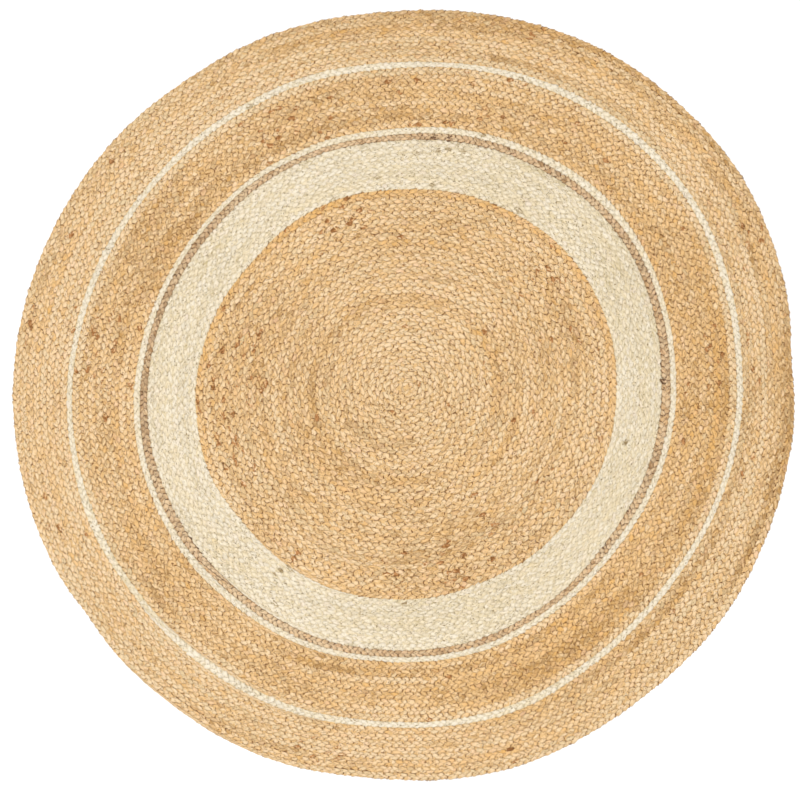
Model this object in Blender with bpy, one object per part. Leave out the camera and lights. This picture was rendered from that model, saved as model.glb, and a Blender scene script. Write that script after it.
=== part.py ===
"""A round rug coiled from seven lengths of flat three-strand jute plait, lying flat on the floor.

+Z is up. The underside is at z = 0 and the outline's box is centred on the origin. The plait winds
outwards clockwise, seen from above. A place on the rug is given by its clock, an angle in degrees
turned left from +X, and by rows, the number of rows of plait between the middle of the coil and it.
Sizes are in millimetres, and MM turns them into metres where points are set.
"""

from collections import namedtuple
from math import cos, exp, radians, sin

import bmesh
import bpy

MM = 0.001

# A length of plait: how many rows it makes, and the shape of its outer edge, which is a circle of this mean
# radius, made oval along oval_clock, and waved three and five times round.
Length = namedtuple("Length", "name yarn rows radius oval oval_clock three_sided five_sided")
LENGTHS = (
    Length("natural_coil", "natural", 28, 320.8, 6.5, 26, 0.6, 1.8),
    Length("cream_band", "cream", 8, 395.9, 7.9, 41, 2.8, 1.6),
    Length("taupe_row", "taupe", 1, 407.1, 8.7, 39, 2.7, 1.6),
    Length("cream_row", "cream", 1, 416.5, 9.1, 39, 2.7, 1.6),
    Length("natural_band", "natural", 8, 509.5, 10.0, 36, 3.4, 1.6),
    Length("outer_cream_row", "cream", 1, 519.6, 9.8, 37, 3.7, 1.6),
    Length("natural_rim", "natural", 8, 600.1, 7.6, 31, 4.4, 1.2),
)
THREE_SIDED_CLOCK = 41
FIVE_SIDED_CLOCK = -22

# Places where the rows swell outwards, or sink inwards where negative: the clock there and the spread in
# degrees, then how far at the coil's edge, at the inner stripes, at the outer stripe and at the rim.
Swell = namedtuple("Swell", "clock spread coil inner_stripes outer_stripe rim")
SWELLS = (
    Swell(5, 6, 0.0, -1.0, -1.5, -7.0),
    Swell(16, 10, 3.0, -0.5, -1.0, 0.0),
    Swell(33, 10, 1.5, 1.5, 2.0, 3.5),
    Swell(60, 10, -1.5, -2.0, 0.5, 2.5),
    Swell(93, 9, 0.0, -1.5, -0.5, -2.5),
    Swell(108, 10, 2.5, 2.0, 4.0, 0.5),
    Swell(125, 8, 0.0, 2.0, 1.0, -2.5),
    Swell(139, 10, -4.5, -0.5, 0.0, 0.0),
    Swell(190, 8, -2.0, 0.5, -1.0, -1.0),
    Swell(215, 5, 0.0, 0.0, -2.0, -5.5),
    Swell(218, 9, -4.0, 2.0, 0.5, 1.0),
    Swell(246, 10, 1.5, 1.0, 0.5, 1.5),
    Swell(265, 11, -1.0, -3.0, -5.5, -6.5),
    Swell(290, 9, 0.5, 3.0, 4.0, 3.0),
    Swell(307, 9, 3.0, 1.5, -1.0, 0.0),
    Swell(325, 14, 0.5, -3.5, -4.5, 5.0),
)
COIL_ROW = 28
INNER_STRIPES_ROW = 37
OUTER_STRIPE_ROW = 47

# The middle of the coil, seen from the centre of the outer rows.
COIL_MIDDLE_X = -0.6
COIL_MIDDLE_Y = 8.0

# Every length starts and ends at this clock, and each row steps out to the next one before it. Near the
# middle the step is spread over the whole turn, a spiral. Further out it takes only the turn's last part.
SPLICE_CLOCK = 217
SPIRAL_ROWS = 14
STEPPED_ROWS = 24
STEP_PART = 1 / 8

STEPS_A_TURN = 64
CREST_HEIGHT = 8.0
SEAM_HEIGHT = 5.0
FULL_RIB_ROWS = 0.7  # a plait tapered narrower than this part of a row is lower too
GAP = 0.3
WELD = 0.01
SHARP_EDGE = 40  # degrees: the crests and the rim stay sharp, and the way along a rib is smooth

# Base colour and roughness of each yarn.
YARNS = {
    "natural": ((0.72, 0.48, 0.24), 0.85),
    "cream": ((0.80, 0.69, 0.50), 0.85),
    "taupe": ((0.58, 0.39, 0.22), 0.85),
}


def clear_scene():
    for obj in list(bpy.data.objects):
        bpy.data.objects.remove(obj, do_unlink=True)


def yarn_material(yarn):
    color, roughness = YARNS[yarn]
    material = bpy.data.materials.new("jute_" + yarn)
    material.use_nodes = True
    shader = material.node_tree.nodes["Principled BSDF"]
    shader.inputs["Base Color"].default_value = (*color, 1.0)
    shader.inputs["Roughness"].default_value = roughness
    shader.inputs["Metallic"].default_value = 0.0
    return material


def ramp(value, start, end):
    """0 up to start, 1 from end on, and straight between them."""
    return min(1.0, max(0.0, (value - start) / (end - start)))


def between(low, high, part):
    return low + (high - low) * part


def edge_shape(rows):
    """Mean radius, oval, oval clock, three-sided and five-sided waviness of the circle at this many rows."""
    inner = (0.0, 0.0, LENGTHS[0].oval_clock, 0.0, 0.0)
    first_row = 0
    for length in LENGTHS:
        outer = (length.radius, length.oval, length.oval_clock, length.three_sided, length.five_sided)
        if rows <= first_row + length.rows:
            break
        inner = outer
        first_row += length.rows
    part = (rows - first_row) / length.rows
    return [between(low, high, part) for low, high in zip(inner, outer)]


def swelling(rows, clock):
    """How far the swells push the plait outwards here, in millimetres."""
    total = 0.0
    last_row = sum(length.rows for length in LENGTHS)
    for swell in SWELLS:
        away = (clock - swell.clock + 180) % 360 - 180
        size = swell.coil * ramp(rows, 0, COIL_ROW)
        size += (swell.inner_stripes - swell.coil) * ramp(rows, COIL_ROW, INNER_STRIPES_ROW)
        size += (swell.outer_stripe - swell.inner_stripes) * ramp(rows, INNER_STRIPES_ROW, OUTER_STRIPE_ROW)
        size += (swell.rim - swell.outer_stripe) * ramp(rows, OUTER_STRIPE_ROW, last_row)
        total += size * exp(-((away / swell.spread) ** 2))
    return total


def place(rows, clock):
    """The point at this many rows from the middle of the coil, in millimetres from the outer rows' centre."""
    radius, oval, oval_clock, three_sided, five_sided = edge_shape(rows)
    radius += oval * cos(2 * radians(clock - oval_clock))
    radius += three_sided * cos(3 * radians(clock - THREE_SIDED_CLOCK))
    radius += five_sided * cos(5 * radians(clock - FIVE_SIDED_CLOCK))
    radius += swelling(rows, clock)
    off_centre = 1 - ramp(rows, 0, LENGTHS[0].rows)
    x = COIL_MIDDLE_X * off_centre + radius * cos(radians(clock))
    y = COIL_MIDDLE_Y * off_centre + radius * sin(radians(clock))
    return x, y


def clock_at(step):
    return SPLICE_CLOCK - 360 * step / STEPS_A_TURN


def seam_rows(step, first_row, last_row, margin):
    """Rows from the middle to the seam inside the plait, step by step along it. It starts one turn early,
    so that the plait tapers in, and it stays within the length's own two edges, so that it tapers out. The
    margin, in rows, is half the gap to the next length."""
    row = first_row - 1 + step // STEPS_A_TURN
    part = between(1.0, STEP_PART, ramp(row, SPIRAL_ROWS, STEPPED_ROWS))
    rows = row + ramp(step % STEPS_A_TURN / STEPS_A_TURN, 1 - part, 1)
    inner_edge = first_row + margin if first_row else 0
    return min(last_row - margin, max(inner_edge, rows))


def coil_plait(bm, first_row, last_row, margin):
    """Lay the plait out as a long strip with a raised middle, wind it round, and sew each turn to the last."""
    steps = (last_row - first_row + 1) * STEPS_A_TURN
    strip = bmesh.ops.create_grid(bm, x_segments=steps, y_segments=2, size=1.0)
    for vert in strip["verts"]:
        step = round((vert.co.x + 1) / 2 * steps)
        across = (vert.co.y + 1) / 2
        inside = seam_rows(step, first_row, last_row, margin)
        outside = seam_rows(step + STEPS_A_TURN, first_row, last_row, margin)
        x, y = place(between(inside, outside, across), clock_at(step))
        rib = (CREST_HEIGHT - SEAM_HEIGHT) * ramp(outside - inside, 0, FULL_RIB_ROWS)
        is_seam = abs(vert.co.y) > 0.5
        height = SEAM_HEIGHT if is_seam else SEAM_HEIGHT + rib
        vert.co = (x * MM, y * MM, height * MM)
    bmesh.ops.remove_doubles(bm, verts=bm.verts, dist=WELD * MM)


def close_underside(bm):
    """Drop the open edges straight to the floor and fill the flat bottom between them."""
    open_edges = [edge for edge in bm.edges if edge.is_boundary]
    walls = bmesh.ops.extrude_edge_only(bm, edges=open_edges)["geom"]
    for vert in walls:
        if isinstance(vert, bmesh.types.BMVert):
            vert.co.z = 0.0
    bottom = [edge for edge in bm.edges if edge.is_boundary]
    bmesh.ops.triangle_fill(bm, edges=bottom, use_beauty=True, use_dissolve=False)
    bmesh.ops.recalc_face_normals(bm, faces=bm.faces)


def make_length(length, first_row, inner_radius, material, collection):
    pitch = (length.radius - inner_radius) / length.rows
    bm = bmesh.new()
    coil_plait(bm, first_row, first_row + length.rows, GAP / 2 / pitch)
    close_underside(bm)
    mesh = bpy.data.meshes.new(length.name)
    bm.to_mesh(mesh)
    bm.free()
    mesh.materials.append(material)
    mesh.shade_smooth()
    mesh.set_sharp_from_angle(angle=radians(SHARP_EDGE))
    obj = bpy.data.objects.new(length.name, mesh)
    collection.objects.link(obj)
    return obj


def centre_on_origin(objects):
    """Move the rug as one, so that the middle of the box round it is over the origin."""
    points = [vert.co for obj in objects for vert in obj.data.vertices]
    middle_x = (min(p.x for p in points) + max(p.x for p in points)) / 2
    middle_y = (min(p.y for p in points) + max(p.y for p in points)) / 2
    for obj in objects:
        obj.location = (-middle_x, -middle_y, 0.0)


def make_rug():
    clear_scene()
    collection = bpy.data.collections.new("round_jute_rug")
    bpy.context.scene.collection.children.link(collection)
    materials = {yarn: yarn_material(yarn) for yarn in YARNS}
    objects = []
    first_row = 0
    inner_radius = 0.0
    for length in LENGTHS:
        objects.append(make_length(length, first_row, inner_radius, materials[length.yarn], collection))
        first_row += length.rows
        inner_radius = length.radius
    centre_on_origin(objects)


make_rug()
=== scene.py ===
"""Looks of the round jute rug: every strand of its plait, the loose fibres, the floor, light and camera.

+Z is up, and the rug lies on the floor at z = 0. Each of its seven lengths of plait is three flattened
strands, plaited over and under each other along the row, with a thin core of packed fibre between them.
A place on the rug is given by its clock, an angle in degrees turned left from +X, and by rows, the number
of rows of plait between the middle of the coil and it. Sizes are in millimetres, apart from the light's,
and MM turns them into metres.
"""

from collections import namedtuple
from math import pi

import bpy
import numpy as np
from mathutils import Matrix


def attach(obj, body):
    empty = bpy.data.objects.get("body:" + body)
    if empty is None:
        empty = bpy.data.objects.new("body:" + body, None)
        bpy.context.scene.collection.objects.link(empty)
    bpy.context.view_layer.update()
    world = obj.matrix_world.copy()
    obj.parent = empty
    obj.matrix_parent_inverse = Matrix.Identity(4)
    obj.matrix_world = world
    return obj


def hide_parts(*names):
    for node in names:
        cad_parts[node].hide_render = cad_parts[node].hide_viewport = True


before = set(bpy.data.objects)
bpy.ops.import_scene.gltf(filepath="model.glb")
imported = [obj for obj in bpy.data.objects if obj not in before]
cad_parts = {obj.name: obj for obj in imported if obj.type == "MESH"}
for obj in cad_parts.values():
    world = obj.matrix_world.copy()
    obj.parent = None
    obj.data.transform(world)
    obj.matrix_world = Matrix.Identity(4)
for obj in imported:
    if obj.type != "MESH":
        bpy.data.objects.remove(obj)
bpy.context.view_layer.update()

MM = 0.001

# ---------------------------------------------------------------------------------------------------------
# The rug's shape

# A length of plait: how many rows it makes, and the shape of its outer edge, a circle of this mean radius,
# made oval along oval_clock and waved three and five times round. Lobe is how far apart the lobes of the
# plait are along the row, and inward says that it was plaited from its outer end to its inner one.
Length = namedtuple("Length", "name yarn rows radius oval oval_clock three_sided five_sided lobe inward")
LENGTHS = (
    Length("natural_coil", "natural", 28, 320.8, 6.5, 26, 0.6, 1.8, 12.8, True),
    Length("cream_band", "cream", 8, 395.9, 7.9, 41, 2.8, 1.6, 12.5, False),
    Length("taupe_row", "taupe", 1, 407.1, 8.7, 39, 2.7, 1.6, 9.6, False),
    Length("cream_row", "cream", 1, 416.5, 9.1, 39, 2.7, 1.6, 11.0, False),
    Length("natural_band", "natural", 8, 509.5, 10.0, 36, 3.4, 1.6, 11.1, True),
    Length("outer_cream_row", "cream", 1, 519.6, 9.8, 37, 3.7, 1.6, 11.4, True),
    Length("natural_rim", "natural", 8, 600.1, 7.6, 31, 4.4, 1.2, 11.6, True),
)
THREE_SIDED_CLOCK = 41
FIVE_SIDED_CLOCK = -22
ALL_ROWS = sum(length.rows for length in LENGTHS)

# Places where the rows swell outwards, or sink inwards where negative: the clock there and the spread in
# degrees, then how far at the coil's edge, at the inner stripes, at the outer stripe and at the rim.
Swell = namedtuple("Swell", "clock spread coil inner_stripes outer_stripe rim")
SWELLS = (
    Swell(5, 6, 0.0, -1.0, -1.5, -7.0),
    Swell(16, 10, 3.0, -0.5, -1.0, 0.0),
    Swell(33, 10, 1.5, 1.5, 2.0, 3.5),
    Swell(60, 10, -1.5, -2.0, 0.5, 2.5),
    Swell(93, 9, 0.0, -1.5, -0.5, -2.5),
    Swell(108, 10, 2.5, 2.0, 4.0, 0.5),
    Swell(125, 8, 0.0, 2.0, 1.0, -2.5),
    Swell(139, 10, -4.5, -0.5, 0.0, 0.0),
    Swell(190, 8, -2.0, 0.5, -1.0, -1.0),
    Swell(215, 5, 0.0, 0.0, -2.0, -5.5),
    Swell(218, 9, -4.0, 2.0, 0.5, 1.0),
    Swell(246, 10, 1.5, 1.0, 0.5, 1.5),
    Swell(265, 11, -1.0, -3.0, -5.5, -6.5),
    Swell(290, 9, 0.5, 3.0, 4.0, 3.0),
    Swell(307, 9, 3.0, 1.5, -1.0, 0.0),
    Swell(325, 14, 0.5, -3.5, -4.5, 5.0),
)
COIL_ROW = 28
INNER_STRIPES_ROW = 37
OUTER_STRIPE_ROW = 47

# Places where a row is wider than the rest, or narrower where negative, by this part of ROW_WIDTH. The
# rows beside it are pushed aside, less and less up to BULGE_REACH rows away.
Bulge = namedtuple("Bulge", "row clock spread wider")
BULGES = (
    Bulge(36, 0, 20, 0.18),
    Bulge(36, 108, 16, -0.20),
    Bulge(36, 168, 14, -0.16),
    Bulge(36, 204, 10, 0.15),
    Bulge(36, 306, 10, -0.14),
    Bulge(36, 330, 12, 0.15),
    Bulge(37, 15, 12, -0.12),
    Bulge(37, 50, 12, 0.30),
    Bulge(37, 138, 22, -0.20),
    Bulge(37, 222, 12, 0.20),
    Bulge(37, 264, 20, -0.12),
    Bulge(46, 22, 8, 0.15),
    Bulge(46, 52, 8, 0.20),
    Bulge(46, 82, 8, -0.28),
    Bulge(46, 142, 7, -0.14),
    Bulge(46, 178, 12, -0.15),
    Bulge(46, 202, 7, 0.28),
    Bulge(46, 234, 10, 0.32),
    Bulge(46, 272, 10, -0.18),
    Bulge(46, 292, 7, 0.10),
    Bulge(46, 340, 16, -0.07),
)
BULGE_REACH = 3
ROW_WIDTH = 10.5

# The middle of the coil, seen from the centre of the outer rows.
COIL_MIDDLE_X = -0.6
COIL_MIDDLE_Y = 8.0

# Every length starts and ends at this clock, and each row steps out to the next one just before it. Up to
# SPIRAL_ROWS the step is spread over the whole turn. From STEPPED_ROWS on it takes only the turn's last
# part, and a length of one row is cut off short where its end meets its start.
SPLICE_CLOCK = 217
SPIRAL_ROWS = 14
STEPPED_ROWS = 24
STEP_PART = 1 / 8
SINGLE_ROW_STEP_PART = 1 / 30

# ---------------------------------------------------------------------------------------------------------
# The plait

STEPS_A_TURN = 720
LEAST_WIDTH = 1.2  # a plait ends where it has tapered to this width
MIDDLE_WIDTH = 5.0  # and the coil starts, in its middle, where it has this one
FULL_WIDTH = 5.6  # where the plait is narrower than this its strands are thinner too
THICKNESS = 8.0
STRAND_HALF_THICKNESS = 2.0
LEAST_HEIGHT = 0.05  # of the strands over the floor
PRESSED = 0.5  # how far a strand at the plait's edge is pressed into the next row
SEWN_IN = 1.10  # how much wider a plait is before the sewing draws it in
STRANDS = 3

# The strand's way from one edge of the plait to the other, which its next half repeats mirrored: degrees
# of its whole way past the edge, how far across, from 1 at this edge to -1 at the other, how high, from 1
# on top to -1 underneath, how far it has rolled round the edge, in degrees, and how far each of its
# cross-sections leans, by the distance along the row for each millimetre across.
Ring = namedtuple("Ring", "turn across height roll lean")
HALF_WAY = (
    Ring(-16, 0.99, 0.16, 8, 0.0),
    Ring(11, 0.92, 0.86, 72, 0.0),
    Ring(57, 0.62, 1.00, 86, 0.05),
    Ring(109, 0.06, 0.80, 92, 0.15),
    Ring(139, -0.46, -0.90, 87, 0.30),
    Ring(161, -0.90, -0.40, 40, 0.10),
)
HIDDEN_TURN = 140  # where a strand dives under the next one, after the part of it that shows on top

# How a length is plaited and sewn: its strands' width as a part of the plait's, how much the tone of its
# yarn changes from one batch of fibre to the next, and how dark the painted shade is in the creases
# between its rows.
Plaiting = namedtuple("Plaiting", "strand_width batches creases")
PLAITINGS = {
    "natural_coil": Plaiting(0.80, 0.08, 1.15),
    "cream_band": Plaiting(0.84, 0.08, 0.5),
    "taupe_row": Plaiting(0.82, 0.12, 0.8),
    "cream_row": Plaiting(0.80, 0.08, 0.5),
    "natural_band": Plaiting(0.80, 0.10, 1.05),
    "outer_cream_row": Plaiting(0.80, 0.08, 0.3),
    "natural_rim": Plaiting(0.80, 0.16, 0.65),
}

# The corners of a strand in cross-section: their parts of the half thickness, towards the face that starts
# inside, and of the half width.
Corner = namedtuple("Corner", "thick wide")
SECTION = (Corner(0.85, -0.8), Corner(0.85, 0.8), Corner(-0.85, 0.8), Corner(-0.85, -0.8))
CORNER_THICK = np.array([corner.thick for corner in SECTION])
CORNER_WIDE = np.array([corner.wide for corner in SECTION])

# How uneven a strand is: in width and thickness as a part of them, in how far across and how high it lies,
# and in the degrees that it is turned.
WIDTH_DRIFT = 0.15
THICKNESS_DRIFT = 0.08
ACROSS_DRIFT = 0.36
HEIGHT_DRIFT = 0.20
TURN_DRIFT = 7.0

# How uneven the three strands are together: in where along the plait they are, as a part of a lobe, and in
# how far across. Each is given with about how many lobes it takes to change.
SWAY = 0.14
SWAY_LOBES = 1.5
WEAVE = 0.25
WEAVE_LOBES = 2.5

SEED = 11
rng = np.random.default_rng(SEED)


def ramp(value, start, end):
    """0 up to start, 1 from end on, and straight between them."""
    return np.clip((value - start) / (end - start), 0.0, 1.0)


def edge_rows():
    """The rows at the middle of the coil and at each length's outer edge."""
    return np.cumsum([0] + [length.rows for length in LENGTHS])


def edge_value(rows, name):
    """One measure of the circles, such as their mean radius, at this many rows."""
    inner = LENGTHS[0].oval_clock if name == "oval_clock" else 0.0
    return np.interp(rows, edge_rows(), [inner] + [getattr(length, name) for length in LENGTHS])


def share_at(clock, stretch):
    """How strong a swell or a bulge is at this clock: 1 in its middle, and less to both sides."""
    away = (clock - stretch.clock + 180) % 360 - 180
    return np.exp(-((away / stretch.spread) ** 2))


def swelling(rows, clock):
    """How far the swells push the plait outwards here, in millimetres."""
    total = np.zeros_like(rows)
    known_rows = (0, COIL_ROW, INNER_STRIPES_ROW, OUTER_STRIPE_ROW, ALL_ROWS)
    for swell in SWELLS:
        sizes = (0, swell.coil, swell.inner_stripes, swell.outer_stripe, swell.rim)
        total += np.interp(rows, known_rows, sizes) * share_at(clock, swell)
    return total


def bulging(rows, clock):
    """How far the bulges push the plait outwards here, in millimetres."""
    total = np.zeros_like(rows)
    for bulge in BULGES:
        # Half of the wider row goes inwards and half outwards.
        push = np.interp(rows - bulge.row, (-BULGE_REACH, 0, 1, 1 + BULGE_REACH), (0, -0.5, 0.5, 0))
        total += bulge.wider * ROW_WIDTH * push * share_at(clock, bulge)
    return total


def place_from_rows_centre(rows, clock):
    """Points at these rows and clocks, from the centre of the outer rows."""
    rows = np.asarray(rows, float)
    radius = edge_value(rows, "radius") + swelling(rows, clock) + bulging(rows, clock)
    radius += edge_value(rows, "oval") * np.cos(2 * np.radians(clock - edge_value(rows, "oval_clock")))
    radius += edge_value(rows, "three_sided") * np.cos(3 * np.radians(clock - THREE_SIDED_CLOCK))
    radius += edge_value(rows, "five_sided") * np.cos(5 * np.radians(clock - FIVE_SIDED_CLOCK))
    off_centre = 1 - ramp(rows, 0, LENGTHS[0].rows)
    x = COIL_MIDDLE_X * off_centre + radius * np.cos(np.radians(clock))
    y = COIL_MIDDLE_Y * off_centre + radius * np.sin(np.radians(clock))
    return np.stack([x, y], -1)


def outline_middle():
    """The middle of the box round the outline, which is over the origin in the frame."""
    clock = np.linspace(0, 360, STEPS_A_TURN, endpoint=False)
    outline = place_from_rows_centre(np.full_like(clock, ALL_ROWS), clock)
    return (outline.min(0) + outline.max(0)) / 2


OUTLINE_MIDDLE = outline_middle()


def place(rows, clock):
    """Points at these rows and clocks, from the frame's origin."""
    return place_from_rows_centre(rows, clock) - OUTLINE_MIDDLE


def first_row_of(length):
    """How many rows lie between the middle of the coil and this length."""
    return sum(other.rows for other in LENGTHS[: LENGTHS.index(length)])


def seam_rows(turns, first_row, last_row):
    """Rows from the middle to the seam inside the plait, after this many turns of it."""
    row = first_row - 1 + np.floor(turns)
    part = 1 + (STEP_PART - 1) * ramp(row, SPIRAL_ROWS, STEPPED_ROWS)
    if last_row - first_row == 1:
        part = SINGLE_ROW_STEP_PART
    rows = row + np.clip((turns % 1 - 1 + part) / part, 0, 1)
    return np.clip(rows, first_row, last_row)


# The middle line of a plait: how far along it, the point, the direction to its outer side, its width, and
# the rows and the clock there.
Path = namedtuple("Path", "along point outward width rows clock")


def plait_path(length):
    """The middle line of a length of plait, from its inner end to its outer one."""
    first_row = first_row_of(length)
    last_row = first_row + length.rows
    turns = np.arange((length.rows + 1) * STEPS_A_TURN) / STEPS_A_TURN
    clock = SPLICE_CLOCK - 360 * turns
    inside = seam_rows(turns, first_row, last_row)
    outside = seam_rows(turns + 1, first_row, last_row)
    width = np.linalg.norm(place(outside, clock) - place(inside, clock), axis=1)
    rows = (inside + outside) / 2
    there = width > np.where(rows < 1, MIDDLE_WIDTH, LEAST_WIDTH)
    point = place(rows, clock)[there]
    step = np.linalg.norm(np.diff(point, axis=0), axis=1)
    along = np.concatenate([[0], np.cumsum(step)])
    forward = np.gradient(point, along, axis=0)
    forward /= np.linalg.norm(forward, axis=1)[:, None]
    outward = np.stack([-forward[:, 1], forward[:, 0]], -1)
    return Path(along, point, outward, width[there], rows[there], clock[there])


def at(path, along):
    """The path's values at these places along it."""

    def value(values):
        return np.interp(along, path.along, values)

    point = np.stack([value(path.point[:, axis]) for axis in range(2)], -1)
    outward = np.stack([value(path.outward[:, axis]) for axis in range(2)], -1)
    return Path(along, point, outward, value(path.width), value(path.rows), value(path.clock))


def drift(along, spacing, size):
    """A random value that changes smoothly along the strand, over about this spacing."""
    knots = np.arange(int(along.max() / spacing) + 3)
    return np.interp(along / spacing, knots, rng.normal(0, size, len(knots)))


def unevenness(total, spacing, size):
    """Places along a plait, this far apart, and a random value at each."""
    places = np.arange(-spacing, total + 2 * spacing, spacing)
    return places, rng.normal(0, size, len(places))


# ---------------------------------------------------------------------------------------------------------
# Colour along the strands

# How much a yarn's tone changes from one stretch of a strand to the next, from lobe to lobe and over the
# rug, how much its hue does, and the share of its lobes that hold a dark fleck of bark.
Yarn = namedtuple("Yarn", "stretch lobe patch hue flecks")
YARNS = {
    "natural": Yarn(0.12, 0.06, 0.10, 0.13, 0.016),
    "cream": Yarn(0.08, 0.04, 0.07, 0.12, 0.006),
    "taupe": Yarn(0.13, 0.11, 0.08, 0.14, 0.03),
}
STRETCH = 45.0  # about how long such a stretch is
BATCH = 350.0  # about how far one batch of fibre goes along the plait
EVEN_ROWS = (-10, 14)  # the yarn is most even in the middle of the coil, and less so up to this row

# The painted shade in the crease between rows is darker in one place than in another: about how far
# apart, and how much.
CREASE = 70.0
CREASE_DRIFT = 0.4

# How much bark is in the yarn, which also sets how dark the painted shade down its strands' sides is:
# evenly, from one stretch to the next, and in a lobe that holds a fleck.
BARK_AND_SHADE = 0.35
BARK_AND_SHADE_DRIFT = 0.25
FLECK_BARK_AND_SHADE = (0.9, 1.7)

# Rows that are darker, or paler where negative, and more golden than the rest of their yarn, over part of
# the way round: the row, the clock in the middle of that part, and how far it reaches to each side.
RowTone = namedtuple("RowTone", "row clock reach darker golden")
ROW_TONES = (
    RowTone(12, 0, 180, 0.05, 0.15),
    RowTone(15, 0, 180, 0.05, 0.15),
    RowTone(20, 0, 180, 0.06, 0.20),
    RowTone(27, 95, 110, 0.02, 0.40),
    RowTone(37, 0, 180, -0.10, 0.00),
    RowTone(36, 0, 180, -0.08, 0.00),
    RowTone(36, 165, 40, 0.14, -0.10),
    RowTone(36, 238, 28, -0.25, 0.10),
    RowTone(38, 0, 180, 0.12, 0.20),
    RowTone(39, 0, 180, 0.24, 0.20),
    RowTone(39, 200, 45, -0.20, 0.00),
    RowTone(40, 0, 180, 0.06, 0.12),
    RowTone(41, 0, 180, 0.06, 0.12),
    RowTone(42, 0, 180, 0.06, 0.12),
    RowTone(43, 0, 180, 0.06, 0.12),
    RowTone(44, 0, 180, 0.04, 0.12),
    RowTone(40, 330, 60, 0.10, 0.10),
    RowTone(41, 330, 60, 0.16, 0.10),
    RowTone(42, 330, 60, 0.16, 0.10),
    RowTone(43, 330, 60, 0.18, 0.10),
    RowTone(44, 330, 50, 0.20, 0.10),
    RowTone(43, 60, 35, -0.18, 0.00),
    RowTone(44, 60, 35, -0.10, 0.00),
    RowTone(45, 0, 180, -0.16, -0.10),
    RowTone(46, 0, 180, -0.25, 0.00),
    RowTone(47, 225, 60, -0.12, 0.00),
    RowTone(47, 0, 180, -0.07, -0.03),
    RowTone(48, 0, 180, -0.16, -0.03),
    RowTone(49, 0, 180, -0.16, -0.03),
    RowTone(50, 0, 180, -0.09, -0.03),
    RowTone(51, 0, 180, -0.12, -0.03),
    RowTone(48, 210, 70, -0.12, 0.00),
    RowTone(48, 350, 50, 0.16, 0.00),
    RowTone(49, 315, 50, 0.12, 0.00),
    RowTone(50, 110, 150, -0.15, -0.10),
    # Rows 51 to 54 are darker at the upper right partly in the yarn's own tone and partly as painted
    # shade, where the rug's edge turns away from the light.
    RowTone(51, 55, 80, 0.13, 0.10),
    RowTone(52, 75, 80, 0.16, 0.15),
    RowTone(52, 245, 90, -0.16, 0.00),
    RowTone(53, 32, 68, 0.30, 0.00),
    RowTone(53, 235, 60, -0.14, 0.00),
    RowTone(54, 35, 60, 0.24, 0.00),
    RowTone(54, 110, 30, 0.16, 0.00),
    RowTone(54, 220, 100, -0.10, -0.15),
    RowTone(54, 216, 16, -0.50, -0.30),
)

# Stretches where the seam on the inner side of a row is painted dark, as the shade of a seam that gapes.
Slit = namedtuple("Slit", "row clock reach depth")
SLITS = (
    Slit(36, 222, 12, 7.0),
    Slit(36, 90, 45, 1.0),
    Slit(36, 20, 30, 1.0),
    Slit(54, 250, 25, 2.5),
    Slit(53, 240, 20, 2.5),
    Slit(52, 258, 14, 2.5),
    Slit(54, 20, 50, 3.0),
    Slit(53, 40, 30, 2.0),
)
FADE = 10  # degrees over which a stretch of a row begins and ends

# Spots of the rug with many flecks: from the middle of the coil to the right and up, how far they reach,
# and the share of the lobes in their middle that hold a fleck.
Flecked = namedtuple("Flecked", "right up reach share")
FLECKED = (
    Flecked(-110, 258, 36, 0.34),
    Flecked(-60, 268, 25, 0.26),
    Flecked(-240, 66, 28, 0.37),
    Flecked(-294, -60, 32, 0.27),
    Flecked(-270, -120, 32, 0.27),
    Flecked(-300, 20, 25, 0.26),
    Flecked(-235, -10, 30, 0.20),
    Flecked(222, 162, 30, 0.37),
    Flecked(262, 60, 30, 0.17),
    Flecked(160, 284, 24, 0.27),
    Flecked(-178, -274, 14, 0.60),
    Flecked(68, -268, 34, 0.27),
    Flecked(-20, -290, 24, 0.20),
    Flecked(150, -215, 30, 0.17),
    Flecked(-30, 190, 40, 0.09),
    Flecked(-200, 420, 45, 0.24),
    Flecked(60, 400, 60, 0.10),
    Flecked(-487, 74, 30, 0.20),
    Flecked(-470, 0, 40, 0.14),
    Flecked(470, 30, 50, 0.09),
    Flecked(438, -227, 9, 0.60),
    Flecked(-590, 105, 24, 0.24),
    Flecked(-560, -180, 30, 0.14),
    Flecked(-150, -540, 45, 0.17),
    Flecked(180, 545, 50, 0.14),
    Flecked(560, 230, 40, 0.14),
)

# The few flecks elsewhere: none where patches() is under the first of these, and most from the second on.
FLECKED_PATCHES = (-0.6, 1.2)


def share_of(stretch, spot):
    """How far each spot is in a row's marked stretch: 1 in its middle, and 0 outside it."""
    away = np.abs((spot.clock - stretch.clock + 180) % 360 - 180)
    return (np.floor(spot.rows) == stretch.row) * ramp(-away, -stretch.reach, FADE - stretch.reach)


def row_tones(spot):
    """How much darker and more golden the rows are at each spot."""
    darker = sum(share_of(tone, spot) * tone.darker for tone in ROW_TONES)
    golden = sum(share_of(tone, spot) * tone.golden for tone in ROW_TONES)
    return darker, golden


def coil_middle():
    """The point in the middle of the coil."""
    return place(np.array([0.0]), np.array([0.0]))[0]


def fleck_share(point, evenly):
    """The share of the lobes at these points that hold a fleck, with this share where none lie thickly."""
    share = evenly * ramp(patches(point), *FLECKED_PATCHES)
    right, up = (point - coil_middle()).T
    for flecked in FLECKED:
        away = np.hypot(right - flecked.right, up - flecked.up)
        share += flecked.share * np.exp(-((away / flecked.reach) ** 2))
    return share


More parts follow.
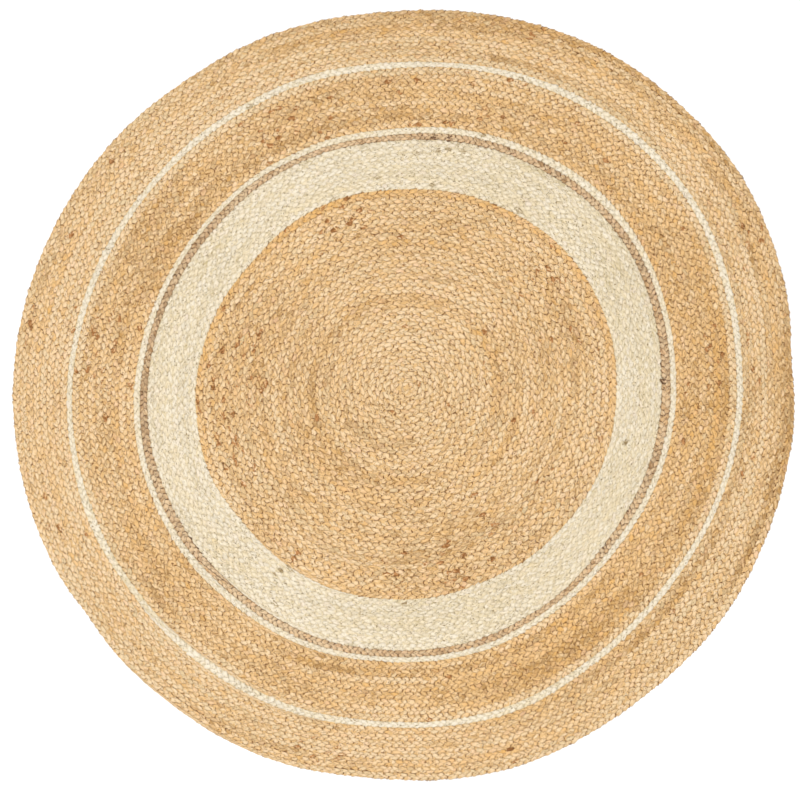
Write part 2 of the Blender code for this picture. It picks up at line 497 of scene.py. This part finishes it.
def patches(point):
    """A value that changes slowly over the rug, mostly from -1 to 1: three waves of up to half a metre."""
    x, y = point[:, 0], point[:, 1]
    first = np.sin(x / 61 + 1.3) * np.cos(y / 83)
    second = np.sin((x + y) / 97)
    third = np.cos((x - 1.6 * y) / 71 + 2)
    return (first + second + third) / 2


# ---------------------------------------------------------------------------------------------------------
# Strands


def new_piece(name, points, faces, material):
    """A smooth mesh of these points, in millimetres, with this material."""
    mesh = bpy.data.meshes.new(name)
    mesh.from_pydata(points * MM, [], faces)
    mesh.materials.append(material)
    mesh.shade_smooth()
    piece = bpy.data.objects.new(name, mesh)
    bpy.context.scene.collection.objects.link(piece)
    return piece


def set_values(piece, name, values):
    """Gives each point of the piece three values, which its material reads by this name."""
    attribute = piece.data.attributes.new(name, "FLOAT_VECTOR", "POINT")
    attribute.data.foreach_set("vector", np.ascontiguousarray(values, dtype=np.float32).ravel())


def tube_faces(crossing, sides, mirrored):
    """Triangles of a tube with this many sides, and a face at each end.

    Where the strand crosses back they fold along the other diagonal, so that both ways over look alike.
    Those of a mirrored tube are turned over.
    """
    ring, side = np.meshgrid(np.arange(len(crossing) - 1), np.arange(sides), indexing="ij")
    here = ring * sides + side
    beside = ring * sides + (side + 1) % sides
    after = here + sides
    beside_after = beside + sides
    back = crossing[:-1, None] > 0
    first = np.stack([here, beside, np.where(back, after, beside_after)], -1)
    second = np.stack([np.where(back, beside, here), beside_after, after], -1)
    start = list(range(sides))[::-1]
    end = list(range((len(crossing) - 1) * sides, len(crossing) * sides))
    faces = np.concatenate([first.reshape(-1, 3), second.reshape(-1, 3)]).tolist() + [start, end]
    return [face[::-1] for face in faces] if mirrored else faces


def ring_table():
    """The rings of a strand's whole way: degrees, across, height, the angle that its inner face looks,
    lean, and whether it crosses back."""
    there = [(ring.turn, ring.across, ring.height, 180 + ring.roll, ring.lean, 0) for ring in HALF_WAY]
    back = [
        (ring.turn + 180, -ring.across, ring.height, 180 - ring.roll, -ring.lean, 1) for ring in HALF_WAY
    ]
    return np.array(there + back)


# The rings of one strand: as in the table, with how far along the plait each is.
Rings = namedtuple("Rings", "turn along across height face lean crossing")

# The size and place of each ring of a strand, and the angle that its inner face looks.
Shape = namedtuple("Shape", "half_width half_thickness across height face")

# What the three strands of a plait share, each as places along it and the values there: how far they are
# shifted along and across, and how much paler and more golden their fibre is.
Shared = namedtuple("Shared", "sway weave pale golden")


def shared_by_strands(length, total):
    """What the three strands of a plait of this total length share."""
    batches = PLAITINGS[length.name].batches
    return Shared(
        unevenness(total, length.lobe * SWAY_LOBES, SWAY * length.lobe),
        unevenness(total, length.lobe * WEAVE_LOBES, WEAVE),
        unevenness(total, BATCH, batches),
        unevenness(total, BATCH, batches),
    )


def strand_rings(length, number, total, sway):
    """The rings of one strand of a plait of this total length."""
    table = ring_table()
    period = STRANDS * length.lobe
    ways = int(total / period) + 2
    turn = (table[:, 0][None] + 360 * np.arange(-1, ways)[:, None]).ravel()
    along = (turn + 360 * number / STRANDS) / 360 * period
    along = along + np.interp(along, *sway)
    there = (along > 0) & (along < total)
    across, height, face, lean, crossing = (np.tile(column, ways + 1)[there] for column in table.T[1:])
    return Rings(turn[there], along[there], across, height, np.radians(face), lean, crossing)


def strand_shape(length, spot, rings, weave):
    """The size and place of each ring, a little uneven."""
    along = rings.along
    lobe = length.lobe
    half_width = PLAITINGS[length.name].strand_width / 2 * spot.width
    half_width = half_width * (1 + drift(along, lobe, WIDTH_DRIFT))
    half_thickness = STRAND_HALF_THICKNESS * ramp(spot.width, 0, FULL_WIDTH)
    half_thickness = half_thickness * (1 + drift(along, lobe, THICKNESS_DRIFT))
    reach = spot.width / 2 - half_thickness + PRESSED
    rise = THICKNESS / 2 - half_thickness
    across = rings.across * reach + drift(along, lobe / 2, ACROSS_DRIFT) + np.interp(along, *weave)
    height = THICKNESS / 2 + rings.height * rise + drift(along, lobe / 2, HEIGHT_DRIFT)
    face = rings.face + np.radians(drift(along, lobe / 2, TURN_DRIFT))
    return Shape(half_width, half_thickness, across, height, face)


def ring_corners(shape):
    """How far across the row and how high each corner of each ring is."""
    thick = shape.half_thickness[:, None] * CORNER_THICK
    wide = shape.half_width[:, None] * CORNER_WIDE
    cosine = np.cos(shape.face)[:, None]
    sine = np.sin(shape.face)[:, None]
    across = shape.across[:, None] + thick * cosine - wide * sine
    height = shape.height[:, None] + thick * sine + wide * cosine
    return across, np.clip(height, LEAST_HEIGHT, THICKNESS)


def make_strand(length, path, number, shared, material):
    """One of the three strands of a length of plait, over and under the others from end to end."""
    total = path.along[-1]
    rings = strand_rings(length, number, total, shared.sway)
    spot = at(path, total - rings.along if length.inward else rings.along)
    shape = strand_shape(length, spot, rings, shared.weave)
    across, height = ring_corners(shape)
    forward = np.stack([spot.outward[:, 1], -spot.outward[:, 0]], -1) * (-1 if length.inward else 1)
    shift = rings.lean[:, None] * (across - shape.across[:, None])
    flat = spot.point[:, None, :] + across[:, :, None] * spot.outward[:, None, :]
    flat += shift[:, :, None] * forward[:, None, :]
    points = np.concatenate([flat, height[:, :, None]], -1).reshape(-1, 3)
    faces = tube_faces(rings.crossing, len(SECTION), length.inward)
    piece = new_piece(f"{length.name}_strand_{number + 1}", points, faces, material)
    colour_strand(piece, length, spot, rings, shared, across, height)
    return piece


def lobe_tones(length, spot, rings, shared):
    """How pale, golden, rosy and full of bark each ring is, by its lobe, its stretch and its row. The
    bark also sets how dark the painted shade down its sides is.
    """
    yarn = YARNS[length.yarn]
    along = rings.along
    lobe = np.floor((rings.turn - HIDDEN_TURN) / 180).astype(int)
    lobe -= lobe.min()
    lobes = lobe.max() + 1
    darker, golden = row_tones(spot)
    even = ramp(spot.rows, *EVEN_ROWS)
    light = even * (rng.normal(0, yarn.lobe, lobes)[lobe] + drift(along, STRETCH, yarn.stretch))
    light = light + yarn.patch * patches(spot.point) - darker + np.interp(along, *shared.pale)
    golden = golden + even * (rng.normal(0, yarn.hue, lobes)[lobe] + drift(along, STRETCH, yarn.hue))
    golden = golden + np.interp(along, *shared.golden)
    rosy = rng.normal(0, yarn.hue, lobes)[lobe]
    fleck = rng.random(lobes)[lobe] < fleck_share(spot.point, yarn.flecks)
    bark_and_shade = BARK_AND_SHADE + drift(along, STRETCH, BARK_AND_SHADE_DRIFT) + fleck * rng.uniform(*FLECK_BARK_AND_SHADE, lobes)[lobe]
    return light[:, None], golden[:, None], rosy[:, None], bark_and_shade[:, None]


def crease_shade_depths(length, spot, rings, side):
    """How dark the painted shade in the crease is beside each corner. The rug's own edge has none."""
    depth = PLAITINGS[length.name].creases + drift(rings.along, CREASE, CREASE_DRIFT)[:, None]
    depth = depth + sum(share_of(slit, spot) * slit.depth for slit in SLITS)[:, None] * (side < 0)
    at_outline = (spot.rows[:, None] > ALL_ROWS - 1) & (side > 0)
    return np.where(at_outline, 0.0, depth)


def colour_strand(piece, length, spot, rings, shared, across, height):
    """Sets the values that the strand's material reads, for each corner of each ring."""

    def over_corners(*values):
        shape = (len(rings.along), len(SECTION))
        return np.stack([np.broadcast_to(value, shape) for value in values], -1).reshape(-1, 3)

    light, golden, rosy, bark_and_shade = lobe_tones(length, spot, rings, shared)
    side = across / (spot.width[:, None] / 2)
    crease_shade_depth = crease_shade_depths(length, spot, rings, side)
    angle = np.arctan2(CORNER_WIDE, CORNER_THICK)
    grain = (rings.along[:, None], GIRTH * np.cos(angle), GIRTH * np.sin(angle))
    # The tone's last value is the bark, which also darkens the painted shade down the sides; the row's
    # second is the painted shade of the creases; the hollow's first is the depth that gets painted light.
    set_values(piece, "tone", over_corners(light, golden, bark_and_shade))
    set_values(piece, "hollow", over_corners(1 - height / THICKNESS, CORNER_WIDE, rosy))
    set_values(piece, "row", over_corners(side, crease_shade_depth, 0.0))
    set_values(piece, "fibre", over_corners(*grain))


# ---------------------------------------------------------------------------------------------------------
# Core and loose fibres

CORE_BOTTOM = 2.2
CORE_TOP = {"natural": 7.0, "cream": 7.0, "taupe": 6.4}
CORE_STEPS = 144
TUCKED_IN = ((0.22, 7.8), (0.5, 7.0))  # the plait's first end fills the coil's middle: rows and heights


def core_rim(row, height):
    """A closed line of points round the rug at this many rows."""
    clock = np.linspace(0, 360, CORE_STEPS, endpoint=False)
    flat = place(np.full(CORE_STEPS, float(row)), clock)
    return np.column_stack([flat, np.full(CORE_STEPS, height)])


def make_core(length, material):
    """A flat ring of packed fibre, or a disc in the coil, between the upper and the lower strands."""
    first_row = first_row_of(length)
    last_row = first_row + length.rows
    is_disc = first_row == 0
    rims = [(row, CORE_TOP[length.yarn]) for row in range(max(first_row, 1), last_row + 1)]
    rims.append((last_row, CORE_BOTTOM))
    if is_disc:
        rims = [*TUCKED_IN, *rims]
    else:
        rims.append((first_row, CORE_BOTTOM))
    points = np.concatenate([core_rim(row, height) for row, height in rims])
    here = np.arange(CORE_STEPS)
    after = (here + 1) % CORE_STEPS
    faces = []
    for number in range(len(rims) - 1 if is_disc else len(rims)):
        rim = number * CORE_STEPS
        next_rim = (number + 1) % len(rims) * CORE_STEPS
        faces += np.stack([rim + here, next_rim + here, next_rim + after, rim + after], -1).tolist()
    if is_disc:
        faces.append(here.tolist())
        faces.append(((len(rims) - 1) * CORE_STEPS + here[::-1]).tolist())
    piece = new_piece(length.name + "_core", points, faces, material)
    piece.data.shade_flat()
    return piece


# Loose fibres that lie on the plait: how many on each metre of it, and the share that are flakes of bark.
# Then the least and greatest length and half thickness of the hairs and of the flakes.
FIBRES_A_METRE = 50
FLAKES = 0.12
HAIR_LENGTH = (5.0, 17.0)
HAIR_GIRTH = (0.08, 0.15)
FLAKE_LENGTH = (2.0, 6.0)
FLAKE_GIRTH = (0.20, 0.40)

# How far they turn away from the row and how much they bend, in radians, and how uneven their height is.
FIBRE_TURN = 0.7
FIBRE_BEND = 0.4
FIBRE_LIFT = 0.15

# Their tones, as a strand's are given.
HAIR_LIGHT = (0.1, 0.7)
HAIR_GOLDEN = 0.3
FLAKE_LIGHT = -0.4
FLAKE_DIRT = 3.0
FIBRE_GRAIN = (1.0, 0.2, 0.2)

# Each is a spindle of two tips and two three-sided rings, at these heights.
FIBRE_HEIGHTS = (7.0, 7.7, 7.8, 6.9)
FIBRE_SIDES = 3
FIBRE_FACES = (
    (0, 2, 1), (0, 3, 2), (0, 1, 3), (1, 2, 5), (1, 5, 4), (2, 3, 6), (2, 6, 5), (3, 1, 4), (3, 4, 6),
    (4, 5, 7), (5, 6, 7), (6, 4, 7),
)


def spindle_points(spot, reach, girth):
    """The points of a spindle on top of the plait at each of these spots."""
    count = len(reach)
    heading = np.arctan2(spot.outward[:, 1], spot.outward[:, 0]) + pi / 2
    heading = heading + rng.normal(0, FIBRE_TURN, count)
    bend = rng.normal(0, FIBRE_BEND, count)
    lateral = rng.uniform(-0.5, 0.5, count) * spot.width
    middle = spot.point + lateral[:, None] * spot.outward
    last = len(FIBRE_HEIGHTS) - 1
    points = []
    for step, height in enumerate(FIBRE_HEIGHTS):
        centre = np.column_stack([middle, height + rng.normal(0, FIBRE_LIFT, count)])
        if step in (0, last):
            points.append(centre)
        else:
            points += [centre + to_corner(heading, girth, corner) for corner in range(FIBRE_SIDES)]
        middle = middle + (reach / last)[:, None] * np.stack([np.cos(heading), np.sin(heading)], -1)
        heading = heading + bend
    return np.stack(points, 1)


def to_corner(heading, girth, corner):
    """From the middle of a spindle's ring to one of its corners."""
    angle = 2 * pi * corner / FIBRE_SIDES
    side = girth * np.cos(angle)
    return np.stack([-np.sin(heading) * side, np.cos(heading) * side, girth * np.sin(angle)], -1)


def make_fibres(length, path, material):
    """Hairs and flakes of bark on top of a length of plait."""
    count = int(FIBRES_A_METRE * path.along[-1] * MM)
    spot = at(path, np.sort(rng.uniform(0, path.along[-1], count)))
    flake = rng.random(count) < FLAKES
    reach = np.where(flake, rng.uniform(*FLAKE_LENGTH, count), rng.uniform(*HAIR_LENGTH, count))
    girth = np.where(flake, rng.uniform(*FLAKE_GIRTH, count), rng.uniform(*HAIR_GIRTH, count))
    spindles = spindle_points(spot, reach, girth)
    corners = spindles.shape[1]
    points = spindles.reshape(-1, 3)
    faces = (np.array(FIBRE_FACES)[None] + corners * np.arange(count)[:, None, None]).reshape(-1, 3)
    piece = new_piece(length.name + "_loose_fibres", points, faces.tolist(), material)
    light = np.where(flake, FLAKE_LIGHT, rng.uniform(*HAIR_LIGHT, count))
    golden = rng.normal(0, HAIR_GOLDEN, count)
    bark_and_shade = np.where(flake, FLAKE_DIRT, 0.0)
    set_values(piece, "tone", np.repeat(np.stack([light, golden, bark_and_shade], -1), corners, axis=0))
    set_values(piece, "hollow", np.zeros_like(points))
    set_values(piece, "row", np.zeros_like(points))
    set_values(piece, "fibre", points * FIBRE_GRAIN)
    return piece


# ---------------------------------------------------------------------------------------------------------
# Materials


def linear(red, green, blue):
    """A colour as a screen shows it, 0 to 255, in the linear values that shaders take."""
    shown = np.array([red, green, blue]) / 255
    return (*np.where(shown <= 0.04045, shown / 12.92, ((shown + 0.055) / 1.055) ** 2.4), 1.0)


# Colours of a yarn: of its darkest, middle and palest fibres, of its golden, grey and rosy lobes, of its
# flecks, which also paint the shade in its creases and down its strands' sides, of bark, and of the core
# deep in it. Shade is how dark that painted shade is.
Dye = namedtuple("Dye", "dark middle pale golden grey rosy fleck bark core shade")
DYES = {
    "natural": Dye(
        linear(176, 136, 82), linear(230, 196, 148), linear(239, 215, 179),
        linear(226, 176, 105), linear(214, 190, 148), linear(234, 192, 154),
        linear(116, 72, 26), linear(184, 130, 78), linear(218, 179, 124), 0.115,
    ),
    "cream": Dye(
        linear(200, 181, 140), linear(230, 216, 189), linear(239, 229, 210),
        linear(230, 209, 167), linear(220, 209, 188), linear(234, 216, 197),
        linear(126, 102, 56), linear(180, 160, 126), linear(222, 205, 170), 0.04,
    ),
    "taupe": Dye(
        linear(154, 118, 78), linear(211, 177, 135), linear(232, 207, 170),
        linear(208, 160, 104), linear(188, 162, 128), linear(224, 183, 148),
        linear(92, 62, 34), linear(110, 80, 56), linear(184, 148, 106), 0.12,
    ),
}

# The patterns of the fibre: how many of their grains there are in a millimetre, along the strand and in
# the two directions across it, and for the core in a metre.
STREAKS = (0.12, 0.85, 0.85)
CLUMPS = (0.16, 0.55, 0.55)
BARK = (0.20, 0.80, 0.80)
SPECKS = (0.24, 1.50, 1.50)
FINE_FIBRES = (0.10, 2.20, 2.20)
CORE_FIBRES = (900.0, 900.0, 900.0)
GIRTH = STRAND_HALF_THICKNESS + 0.5  # half the thickness of the round strand that they are laid round

# What Shader.range() turns a value into. From the first to the second of the four numbers it becomes one
# from the third to the fourth: a tone, or the share of a colour that is laid over the others. Hollows are
# painted paler, a painted light that lifts the shade in them. The lines in the creases and down the
# strands' sides are painted shade, whose last two numbers here are for each unit of the dye's shade.
STREAKS_TONE = (0.25, 0.75, -0.5, 0.5)
CLUMPS_TONE = (0.3, 0.7, -0.08, 0.08)
GOLDEN_SHARE = (0.0, 0.8, 0.0, 1.0)
GREY_SHARE = (0.0, -0.8, 0.0, 1.0)
ROSY_SHARE = (0.05, 0.8, 0.0, 1.0)
BARK_SHARE = (0.93, 1.03, 0.0, 1.0)
FLECK_SHARE = (1.11, 1.24, 0.0, 0.8)
SPECK_SHARE = (0.67, 0.77, 0.0, 0.9)
HOLLOW_LIGHT_SHARE = (0.10, 0.50, 0.0, 0.7)
CREASE_SHADE_SHARE = (0.84, 0.95, 0.0, 3.5)
SIDE_SHADE_LINE = (0.73, 0.79, 0.0, 1.0)
SIDE_SHADE_DEPTH = (-0.3, 1.0, 4.4, 17.0)
MIDDLE_TONE = 0.5
PALEST_TONE = 0.78
DIRT_IN_BARK = 0.3

# The surface: matt, rougher in its paler streaks, and with a relief of FIBRE_DEPTH millimetres.
YARN_ROUGHNESS = (0.3, 0.7, 0.72, 0.9)
YARN_SPECULAR = 0.3
YARN_SHEEN = 0.12
SHEEN_ROUGHNESS = 0.5
FIBRE_BUMP = 0.7
FIBRE_DEPTH = 0.25
CORE_ROUGHNESS = 0.95


class Shader:
    """Adds nodes to a new material, and joins them to its Principled BSDF."""

    def __init__(self, name):
        self.material = bpy.data.materials.new(name)
        self.material.use_nodes = True
        self.nodes = self.material.node_tree.nodes
        self.links = self.material.node_tree.links
        self.surface = self.nodes["Principled BSDF"]

    def add(self, kind, **settings):
        node = self.nodes.new(kind)
        for name, value in settings.items():
            setattr(node, name, value)
        return node

    def plug(self, socket, value):
        if isinstance(value, bpy.types.NodeSocket):
            self.links.new(value, socket)
        else:
            socket.default_value = value

    def attribute(self, name):
        """The three values that the mesh holds under this name, together and apart."""
        split = self.add("ShaderNodeSeparateXYZ")
        read = self.add("ShaderNodeAttribute", attribute_name=name)
        self.links.new(read.outputs["Vector"], split.inputs[0])
        return read.outputs["Vector"], split.outputs

    def math(self, operation, *values):
        node = self.add("ShaderNodeMath", operation=operation)
        for socket, value in zip(node.inputs, values):
            self.plug(socket, value)
        return node.outputs[0]

    def lay_over(self, colour, share, top):
        """This share of the top colour over the other one."""
        node = self.add("ShaderNodeMix", data_type="RGBA")
        self.plug(node.inputs["Factor"], share)
        self.plug(node.inputs["A"], colour)
        self.plug(node.inputs["B"], top)
        return node.outputs["Result"]

    def range(self, value, low, high, to_low, to_high):
        """The value, moved from between low and high to between to_low and to_high."""
        node = self.add("ShaderNodeMapRange")
        for socket, number in zip(node.inputs, (value, low, high, to_low, to_high)):
            self.plug(socket, number)
        return node.outputs[0]

    def noise(self, vector, grains, detail, roughness=0.5):
        """Noise from 0 to 1, with this many grains in a unit of each of the vector's directions."""
        scaled = self.add("ShaderNodeVectorMath", operation="MULTIPLY")
        self.links.new(vector, scaled.inputs[0])
        scaled.inputs[1].default_value = grains
        node = self.add("ShaderNodeTexNoise")
        self.links.new(scaled.outputs[0], node.inputs["Vector"])
        node.inputs["Scale"].default_value = 1.0
        node.inputs["Detail"].default_value = detail
        node.inputs["Roughness"].default_value = roughness
        return node.outputs["Fac"]

    def blend(self, value, stops):
        """A colour that goes from stop to stop with the value."""
        node = self.add("ShaderNodeValToRGB")
        self.links.new(value, node.inputs[0])
        elements = node.color_ramp.elements
        elements[0].position, elements[0].color = stops[0]
        elements[1].position, elements[1].color = stops[-1]
        for position, colour in stops[1:-1]:
            elements.new(position).color = colour
        return node.outputs[0]


def yarn_material(yarn):
    """Jute of one dye: fibres that run along the strand, each of its own tone, with flecks of bark."""
    dye = DYES[yarn]
    shader = Shader(yarn + "_jute_strands")
    fibre, _ = shader.attribute("fibre")
    _, (light, golden, bark_and_shade) = shader.attribute("tone")
    _, (deep, side, rosy) = shader.attribute("hollow")
    _, (across, crease_shade_depth, _) = shader.attribute("row")
    streaks = shader.noise(fibre, STREAKS, detail=3.0, roughness=0.6)
    colour = fibre_colour(shader, dye, fibre, streaks, light)
    colour = shader.lay_over(colour, shader.range(golden, *GOLDEN_SHARE), dye.golden)
    colour = shader.lay_over(colour, shader.range(golden, *GREY_SHARE), dye.grey)
    colour = shader.lay_over(colour, shader.range(rosy, *ROSY_SHARE), dye.rosy)
    colour = add_bark(shader, dye, colour, fibre, bark_and_shade)
    # Painted light: the palest colour is laid over the hollows to lift the shade that falls in them.
    colour = shader.lay_over(colour, shader.range(deep, *HOLLOW_LIGHT_SHARE), dye.pale)
    # Painted shade in the creases between the rows.
    colour = paint_crease_shade(shader, dye, colour, across, crease_shade_depth)
    # Painted shade down both sides of each strand.
    colour = paint_side_shade(shader, dye, colour, side, bark_and_shade)
    shader.plug(shader.surface.inputs["Base Color"], colour)
    set_yarn_surface(shader, fibre, streaks)
    return shader.material


def fibre_colour(shader, dye, fibre, streaks, light):
    """The yarn's own colours, in streaks and clumps round the tone of its lobe."""
    clumps = shader.noise(fibre, CLUMPS, detail=1.0)
    tone = shader.math("ADD", light, shader.range(streaks, *STREAKS_TONE))
    tone = shader.math("ADD", tone, shader.range(clumps, *CLUMPS_TONE))
    tone = shader.math("MINIMUM", shader.math("ADD", tone, MIDDLE_TONE), PALEST_TONE)
    return shader.blend(tone, [(0.0, dye.dark), (0.5, dye.middle), (1.0, dye.pale)])


def add_bark(shader, dye, colour, fibre, bark_and_shade):
    """Bark where there is much of it, dark flecks in its thickest parts, and small specks anywhere."""
    bark = shader.noise(fibre, BARK, detail=1.0)
    flecked = shader.math("MULTIPLY_ADD", bark_and_shade, DIRT_IN_BARK, bark)
    colour = shader.lay_over(colour, shader.range(flecked, *BARK_SHARE), dye.bark)
    colour = shader.lay_over(colour, shader.range(flecked, *FLECK_SHARE), dye.fleck)
    specks = shader.noise(fibre, SPECKS, detail=0.0)
    return shader.lay_over(colour, shader.range(specks, *SPECK_SHARE), dye.fleck)


def paint_crease_shade(shader, dye, colour, across, crease_shade_depth):
    """Painted shade: dark lines in the creases between the rows, at both edges of the plait."""
    low, high, none, most = CREASE_SHADE_SHARE
    crease = shader.range(shader.math("ABSOLUTE", across), low, high, none, most * dye.shade)
    return shader.lay_over(colour, shader.math("MULTIPLY", crease, crease_shade_depth), dye.fleck)


def paint_side_shade(shader, dye, colour, side, bark_and_shade):
    """Painted shade: dark lines down both sides of the strand, darker where there is more bark in it."""
    low, high, least, most = SIDE_SHADE_DEPTH
    line = shader.range(shader.math("ABSOLUTE", side), *SIDE_SHADE_LINE)
    depth = shader.range(bark_and_shade, low, high, least * dye.shade, most * dye.shade)
    return shader.lay_over(colour, shader.math("MULTIPLY", line, depth), dye.fleck)


def set_yarn_surface(shader, fibre, streaks):
    """Matt and slightly hairy, with the fibres in relief."""
    surface = shader.surface
    shader.plug(surface.inputs["Roughness"], shader.range(streaks, *YARN_ROUGHNESS))
    surface.inputs["Specular IOR Level"].default_value = YARN_SPECULAR
    surface.inputs["Sheen Weight"].default_value = YARN_SHEEN
    surface.inputs["Sheen Roughness"].default_value = SHEEN_ROUGHNESS
    fine = shader.noise(fibre, FINE_FIBRES, detail=2.0, roughness=0.6)
    bump = shader.add("ShaderNodeBump")
    bump.inputs["Strength"].default_value = FIBRE_BUMP
    bump.inputs["Distance"].default_value = FIBRE_DEPTH * MM
    shader.plug(bump.inputs["Height"], shader.math("ADD", streaks, fine))
    shader.plug(surface.inputs["Normal"], bump.outputs[0])


def core_material(yarn):
    """Packed fibre between the strands, seen in the hollows."""
    dye = DYES[yarn]
    shader = Shader(yarn + "_jute_core")
    here = shader.add("ShaderNodeTexCoord").outputs["Object"]
    streaks = shader.noise(here, CORE_FIBRES, detail=3.0)
    stops = [(0.30, dye.fleck), (0.42, dye.core), (0.60, dye.core), (0.75, dye.middle)]
    shader.plug(shader.surface.inputs["Base Color"], shader.blend(streaks, stops))
    shader.surface.inputs["Roughness"].default_value = CORE_ROUGHNESS
    return shader.material


# ---------------------------------------------------------------------------------------------------------
# Floor, light and camera

# The floor is lit faintly from below, as a light table is, so that it shows almost no shadow of the rug.
FLOOR_HALF_SIZE = 6000.0
FLOOR_GREY = 0.5
FLOOR_GLOW = 0.6
FLOOR_ROUGHNESS = 0.9
WHITE = (1.0, 1.0, 1.0, 1.0)

# The light, in metres and watts.
SKY_STRENGTH = 1.0
SOFTBOX_SIZE = 3.0
SOFTBOX_ENERGY = 51.0
SOFTBOX_PLACE = (-0.6, -0.5, 3.6)

# The photo's size and the middle of its coil, in pixels, and the camera that sees the rug as it does.
IMAGE_WIDTH = 800
IMAGE_HEIGHT = 789
MM_A_PIXEL = 1.542
COIL_MIDDLE_PIXEL = (406.0, 388.0)
CAMERA_HEIGHT = 4000.0
SENSOR_WIDTH = 36.0


def floor_material():
    shader = Shader("pale_floor")
    shader.surface.inputs["Base Color"].default_value = (FLOOR_GREY, FLOOR_GREY, FLOOR_GREY, 1.0)
    shader.surface.inputs["Emission Color"].default_value = WHITE
    shader.surface.inputs["Emission Strength"].default_value = FLOOR_GLOW
    shader.surface.inputs["Roughness"].default_value = FLOOR_ROUGHNESS
    return shader.material


def make_floor():
    """A pale floor that goes far past the edge of the picture."""
    corners = np.array([(-1.0, -1.0, 0.0), (1.0, -1.0, 0.0), (1.0, 1.0, 0.0), (-1.0, 1.0, 0.0)])
    floor = new_piece("floor", corners * FLOOR_HALF_SIZE, [(0, 1, 2, 3)], floor_material())


def make_light():
    """An even white sky and one large soft light above, a little to the left and in front."""
    world = bpy.data.worlds.new("soft_studio")
    bpy.context.scene.world = world
    world.use_nodes = True
    background = world.node_tree.nodes["Background"]
    background.inputs["Color"].default_value = WHITE
    background.inputs["Strength"].default_value = SKY_STRENGTH
    light = bpy.data.lights.new("softbox", "AREA")
    light.shape = "DISK"
    light.size = SOFTBOX_SIZE
    light.energy = SOFTBOX_ENERGY
    softbox = bpy.data.objects.new("softbox", light)
    softbox.location = SOFTBOX_PLACE
    softbox.rotation_euler = (-softbox.location).to_track_quat("-Z", "Y").to_euler()
    bpy.context.scene.collection.objects.link(softbox)


def make_camera():
    """Straight above, framed so that the middle of the coil is at its pixel of the photo."""
    middle_x, middle_y = coil_middle()
    x = middle_x + (IMAGE_WIDTH / 2 - COIL_MIDDLE_PIXEL[0]) * MM_A_PIXEL
    y = middle_y - (IMAGE_HEIGHT / 2 - COIL_MIDDLE_PIXEL[1]) * MM_A_PIXEL
    lens = bpy.data.cameras.new("camera")
    lens.sensor_fit = "HORIZONTAL"
    lens.sensor_width = SENSOR_WIDTH
    lens.lens = SENSOR_WIDTH * CAMERA_HEIGHT / (IMAGE_WIDTH * MM_A_PIXEL)
    camera = bpy.data.objects.new("camera", lens)
    camera.location = (x * MM, y * MM, (CAMERA_HEIGHT + THICKNESS) * MM)
    bpy.context.scene.collection.objects.link(camera)
    bpy.context.scene.camera = camera
    bpy.context.scene.view_settings.view_transform = "Standard"


# ---------------------------------------------------------------------------------------------------------
# The rug


def flat_size(length, total):
    """The width and length of a plait laid out straight before it is sewn, in metres."""
    inner_radius = float(edge_value(first_row_of(length), "radius"))
    row_width = (length.radius - inner_radius) / length.rows
    return SEWN_IN * row_width * MM, float(total) * MM


def make_length(length, strand_material, packed_material):
    """One length of plait: its strands, its core and its loose fibres, in place of its solid."""
    path = plait_path(length)
    total = path.along[-1]
    shared = shared_by_strands(length, total)
    strands = [make_strand(length, path, number, shared, strand_material) for number in range(STRANDS)]
    core = make_core(length, packed_material)
    fibres = make_fibres(length, path, strand_material)
    for piece in [core, *strands, fibres]:
        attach(piece, "root")
        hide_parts(length.name)
    flat_size(length, total)


def make_rug():
    """All the lengths of plait, from the middle of the coil outwards."""
    strand_materials = {yarn: yarn_material(yarn) for yarn in YARNS}
    core_materials = {yarn: core_material(yarn) for yarn in YARNS}
    for length in LENGTHS:
        make_length(length, strand_materials[length.yarn], core_materials[length.yarn])


make_camera()
make_floor()
make_light()
make_rug()
